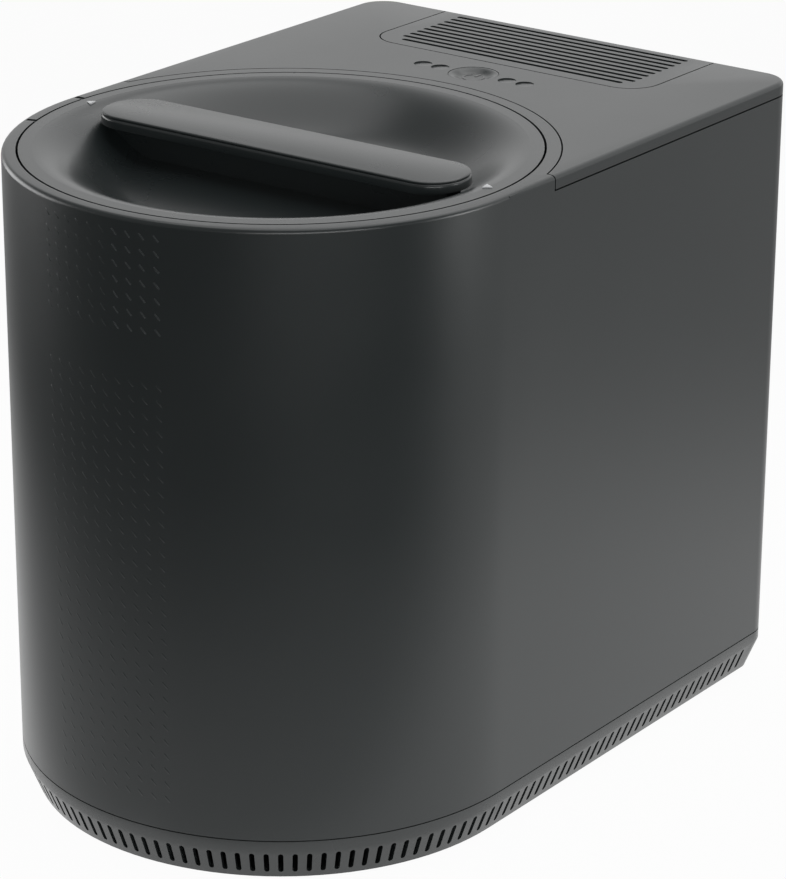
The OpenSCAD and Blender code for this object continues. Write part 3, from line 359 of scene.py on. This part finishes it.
def makeFinish(name, spec):
    material = bpy.data.materials.new(name)
    material.use_nodes = True
    tree = material.node_tree
    place = addNode(tree, "ShaderNodeTexCoord").outputs["Object"]
    group = brushGroup if "brush" in spec else grainGroup
    scale = {"Stretch": spec["brush"]} if "brush" in spec else {"Size": spec["grain"]}
    texture = addNode(tree, "ShaderNodeGroup", {"Vector": place, **scale}, node_tree=group)
    drift = texture.outputs["Drift"]
    dark, light = ((*tone, 1) for tone in spec["tones"])
    colour = mixColours(tree, carry(tree, drift, driftRange, (0.0, 1.0)), dark, light)
    if "rub" in spec:
        colour = addWear(tree, place, colour, spec["rub"])
    bump = addNode(tree, "ShaderNodeBump", {"Strength": 1.0, "Distance": spec["bump"],
                                            "Height": texture.outputs["Height"]})
    setInputs(tree, tree.nodes["Principled BSDF"], {
        "Base Color": colour, "Roughness": carry(tree, drift, driftRange, spec["rough"]),
        "Normal": bump.outputs["Normal"], "Metallic": spec.get("metal", 0.0),
        "Specular IOR Level": spec.get("gloss", plainGloss)})
    return material


materials = {name: makeFinish(name, spec) for name, spec in finishes.items()}
print("finishes made:", len(materials))

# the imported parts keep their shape: welded, then shaded smooth below an angle in degrees
partShading = {"weld": 0.00001, "smoothBelow": 32}


def dressPart(part, finish, spec):
    for face in part.data.polygons:
        face.use_smooth = True
    weld = part.modifiers.new("weld", "WELD")
    weld.merge_threshold = spec["weld"]
    split = part.modifiers.new("crispEdges", "EDGE_SPLIT")
    split.split_angle = math.radians(spec["smoothBelow"])
    split.use_edge_sharp = False
    part.data.materials.clear()
    part.data.materials.append(materials[finish])


for entry in frame["record"]["subparts"]:
    dressPart(nodes[entry["node"]], slotFinish[entry["material_slot"]], partShading)


def placePiece(piece, body, slot, finish, *replaced):
    piece.data.materials.append(materials[finish])
    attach(piece, body)
    if replaced:
        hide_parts(*replaced)


# handle bar: flat, with rounded corners, a fine groove round it and soft edges; each pair is how far below
# the top, or above the underside for the foot, and how far in from the widest outline a ring of it lies
handleBar = {
    "length": 0.2212, "width": 0.0405, "cornerR": 0.0192, "arcSteps": 14, "turn": 1.7,
    "edge": ((0, 0.0014), (0.00015, 0.0009), (0.0005, 0.0006), (0.0009, 0.0006)),
    "groove": ((0.00095, 0.0012), (0.0013, 0.00125), (0.00135, 0.001)),
    "side": ((0.0016, 0.0005), (0.0021, 0.0001), (0.0028, 0)),
    "foot": ((0.0009, 0), (0.0003, 0.0002), (0, 0.0009)),
}


# one flat outline of the bar, drawn in by inset
def addBarOutline(shape, spec, inset, z):
    corners = bmesh.ops.create_grid(shape, x_segments=1, y_segments=1, size=0.5)["verts"]
    bmesh.ops.scale(shape, verts=corners, vec=(spec["length"] - 2 * inset, spec["width"] - 2 * inset, 1))
    bmesh.ops.translate(shape, verts=corners, vec=(0, 0, z))
    bmesh.ops.bevel(shape, geom=corners, offset=spec["cornerR"] - inset, affect="VERTICES",
                    segments=spec["arcSteps"], profile=0.5, material=-1)


def makeHandleBar(spec):
    low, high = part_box("lid_handle")
    middle = (low + high) / 2
    shape = bmesh.new()
    for drop, inset in spec["edge"] + spec["groove"] + spec["side"]:
        addBarOutline(shape, spec, inset, high.z - middle.z - drop)
    for lift, inset in spec["foot"]:
        addBarOutline(shape, spec, inset, low.z - middle.z + lift)
    outlines = sorted(shape.faces, key=lambda face: face.calc_center_median().z)
    for lower, upper in zip(outlines, outlines[1:]):
        bmesh.ops.bridge_loops(shape, edges=[*lower.edges, *upper.edges])
    bmesh.ops.delete(shape, geom=outlines[1:-1], context="FACES_ONLY")
    place = Matrix.Translation(middle) @ Matrix.Rotation(math.radians(spec["turn"]), 4, "Z")
    bmesh.ops.transform(shape, matrix=place, verts=shape.verts)
    return finishMesh("handleBar", shape)


placePiece(makeHandleBar(handleBar), "lid", "lid_plastic", "lidPlastic", "lid_handle")

# raised dashes on the half-round front: two blocks of rows with a bare panel between them; the columns are
# some degrees apart round the front, and the rows stop a little above the base
frontDashes = {"length": 0.0042, "width": 0.00105, "stand": 0.0002, "faintStand": 0.00012, "sunk": 0.0004,
               "soft": 0.00025, "lean": 45, "step": 0.0078, "top": 0.3386, "upperRows": 7, "lowerRows": 31,
               "bareRows": 3.6, "columns": 10, "clearColumns": 4, "columnTurn": 3.15, "middle": -0.45,
               "aboveBase": 0.004}


# row and column of every dash; the clear ones are those at the right of the upper block, and their lighter
# finish is painted light
def dashPlaces(spec):
    rows = list(range(spec["upperRows"]))
    rows += [rows[-1] + spec["bareRows"] + k for k in range(spec["lowerRows"])]
    lowest = (spec["top"] - baseTop - spec["aboveBase"]) / spec["step"]
    firstClear = spec["columns"] - spec["clearColumns"]
    rows = [row for row in rows if row <= lowest]
    for row in rows:
        for column in range(spec["columns"]):
            yield row, column, row < spec["upperRows"] and column >= firstClear


def makeFrontDashes(name, spec, clear):
    stand = spec["stand" if clear else "faintStand"]
    thick = stand + spec["sunk"]
    out = bodyR + stand - thick / 2
    shape = bmesh.new()
    for row, column, isClear in dashPlaces(spec):
        if isClear != clear:
            continue
        turn = spec["middle"] + (column - (spec["columns"] - 1) / 2) * spec["columnTurn"]
        place = Matrix.Translation((0, axisY, spec["top"] - row * spec["step"]))
        place @= Matrix.Rotation(math.radians(turn), 4, "Z")
        place @= Matrix.Translation((0, -out, 0))
        place @= Matrix.Rotation(math.radians(spec["lean"]), 4, "Y")
        place @= Matrix.Diagonal((spec["length"], thick, spec["width"], 1))
        bmesh.ops.create_cube(shape, size=1, matrix=place)
    bmesh.ops.bevel(shape, geom=shape.edges[:], offset=spec["soft"], affect="EDGES", segments=2, profile=0.5,
                    material=-1)
    return finishMesh(name, shape)


# the clear dashes get the lighter copy of the shell plastic, a painted highlight; the faint ones get the
# shell plastic itself
placePiece(makeFrontDashes("clearDashes", frontDashes, True), "housing", "shell_plastic", "paintedLitDashPlastic")
placePiece(makeFrontDashes("faintDashes", frontDashes, False), "housing", "shell_plastic", "shellPlastic")

weldDistance = 0.000001  # joins what a spin doubles on its axis


# spins a line of (radius, z) points about the upright axis through centre, and returns the new verts
def turnProfile(shape, profile, centre, steps):
    before = set(shape.verts)
    line = [shape.verts.new((centre.x + r, centre.y, centre.z + z)) for r, z in profile]
    edges = [shape.edges.new(ends) for ends in zip(line, line[1:])]
    bmesh.ops.spin(shape, geom=line + edges, cent=centre, axis=(0, 0, 1), angle=math.tau, steps=steps,
                   use_merge=True)
    bmesh.ops.remove_doubles(shape, verts=[v for v in shape.verts if v not in before], dist=weldDistance)
    return [v for v in shape.verts if v not in before]


# middle of a node's box, at the height of the deck
def onDeck(node):
    low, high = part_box(node)
    return Vector(((low.x + high.x) / 2, (low.y + high.y) / 2, deckZ))


# dished button: a flat middle, a slope to a soft lip, a flange that holds it under the deck, and a stem; the
# pairs are how far in from the rim and how far below the dish's edge a ring of the lip lies
powerButton = {"dish": 0.002, "flat": 0.0065, "slopeSteps": 12, "lip": 0.0006, "below": 0.0001,
               "lipRings": ((0.00018, 0.00005), (0, 0.0003)), "grown": 0.00015, "flange": 0.002,
               "flangeTop": 0.0036, "flangeFoot": 0.005, "stemR": 0.003, "steps": 64}


def dishProfile(r, spec):
    steps = spec["slopeSteps"]
    slope = r - spec["lip"] - spec["flat"]
    points = []
    for k in range(steps + 1):
        depth = spec["dish"] * (math.cos(math.pi * k / steps) + 1) / 2
        points.append((spec["flat"] + slope * k / steps, -spec["below"] - depth))
    points.insert(0, (0, points[0][1]))
    return points + [(r - inset, -spec["below"] - drop) for inset, drop in spec["lipRings"]]


def makePowerButton(spec):
    low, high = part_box("power_button")
    r = high.x - spec["flange"] + spec["grown"]
    foot = low.z - deckZ
    profile = dishProfile(r, spec)
    profile += [(r, -spec["flangeTop"]), (r + spec["flange"], -spec["flangeTop"]),
                (r + spec["flange"], -spec["flangeFoot"]), (spec["stemR"], -spec["flangeFoot"]),
                (spec["stemR"], foot), (0, foot)]
    shape = bmesh.new()
    turnProfile(shape, profile, onDeck("power_button"), spec["steps"])
    return finishMesh("powerButton", shape)


placePiece(makePowerButton(powerButton), "button", "lid_plastic", "lidPlastic", "power_button")

# generic power sign on the button: a ring that is open at the back, and a bar in the gap
powerSign = {"ringR": 0.0056, "thick": 0.001, "stand": 0.0002, "gap": 70, "steps": 36,
             "bar": 0.0056, "barY": 0.00448}


def makePowerSign(spec):
    high = 2 * spec["stand"]  # half of it is sunk in the dish
    shape = bmesh.new()
    section = bmesh.ops.create_grid(shape, x_segments=1, y_segments=1, size=0.5)["verts"]
    bmesh.ops.scale(shape, verts=section, vec=(spec["thick"], high, 1))
    bmesh.ops.rotate(shape, verts=section, cent=(0, 0, 0), matrix=Matrix.Rotation(math.pi / 2, 3, "X"))
    bmesh.ops.translate(shape, verts=section, vec=(spec["ringR"], 0, 0))
    start = Matrix.Rotation(math.radians(90 + spec["gap"] / 2), 3, "Z")
    bmesh.ops.rotate(shape, verts=section, cent=(0, 0, 0), matrix=start)
    bmesh.ops.spin(shape, geom=shape.faces[:] + shape.edges[:] + shape.verts[:], cent=(0, 0, 0),
                   axis=(0, 0, 1), angle=math.radians(360 - spec["gap"]), steps=spec["steps"],
                   use_merge=False)
    bar = bmesh.ops.create_cube(shape, size=1)["verts"]
    bmesh.ops.scale(shape, verts=bar, vec=(spec["thick"], spec["bar"], high))
    bmesh.ops.translate(shape, verts=bar, vec=(0, spec["barY"], 0))
    dishFloor = Vector((0, 0, -powerButton["below"] - powerButton["dish"]))
    bmesh.ops.translate(shape, verts=shape.verts, vec=onDeck("power_button") + dishFloor)
    return finishMesh("powerSign", shape)


placePiece(makePowerSign(powerSign), "button", "pale_inlay", "signGrey")

# indicator lenses: they lean, deep towards this direction and level with the deck on the other side
indicatorLenses = {"depth": 0.0007, "below": 0.00005, "towards": (-0.9, 0.44), "innerX": 0.022, "steps": 40}


def makeLenses(spec):
    low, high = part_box("indicator_lenses")
    lensR = (high.y - low.y) / 2
    foot = low.z - deckZ
    outerX = high.x - lensR
    profile = [(0, 0), (lensR / 2, 0), (lensR, 0), (lensR, foot), (0, foot)]
    shape = bmesh.new()
    for x in (-outerX, -spec["innerX"], spec["innerX"], outerX):
        centre = Vector((x, (low.y + high.y) / 2, deckZ))
        for vert in turnProfile(shape, profile, centre, spec["steps"]):
            if vert.co.z > deckZ + foot / 2:
                out = (vert.co - centre).xy.dot(Vector(spec["towards"])) / lensR
                vert.co.z -= spec["below"] + spec["depth"] * (1 + out) / 2
    return finishMesh("indicatorLenses", shape)


placePiece(makeLenses(indicatorLenses), "housing", "lens", "shellPlastic", "indicator_lenses")
print("new pieces are in place")
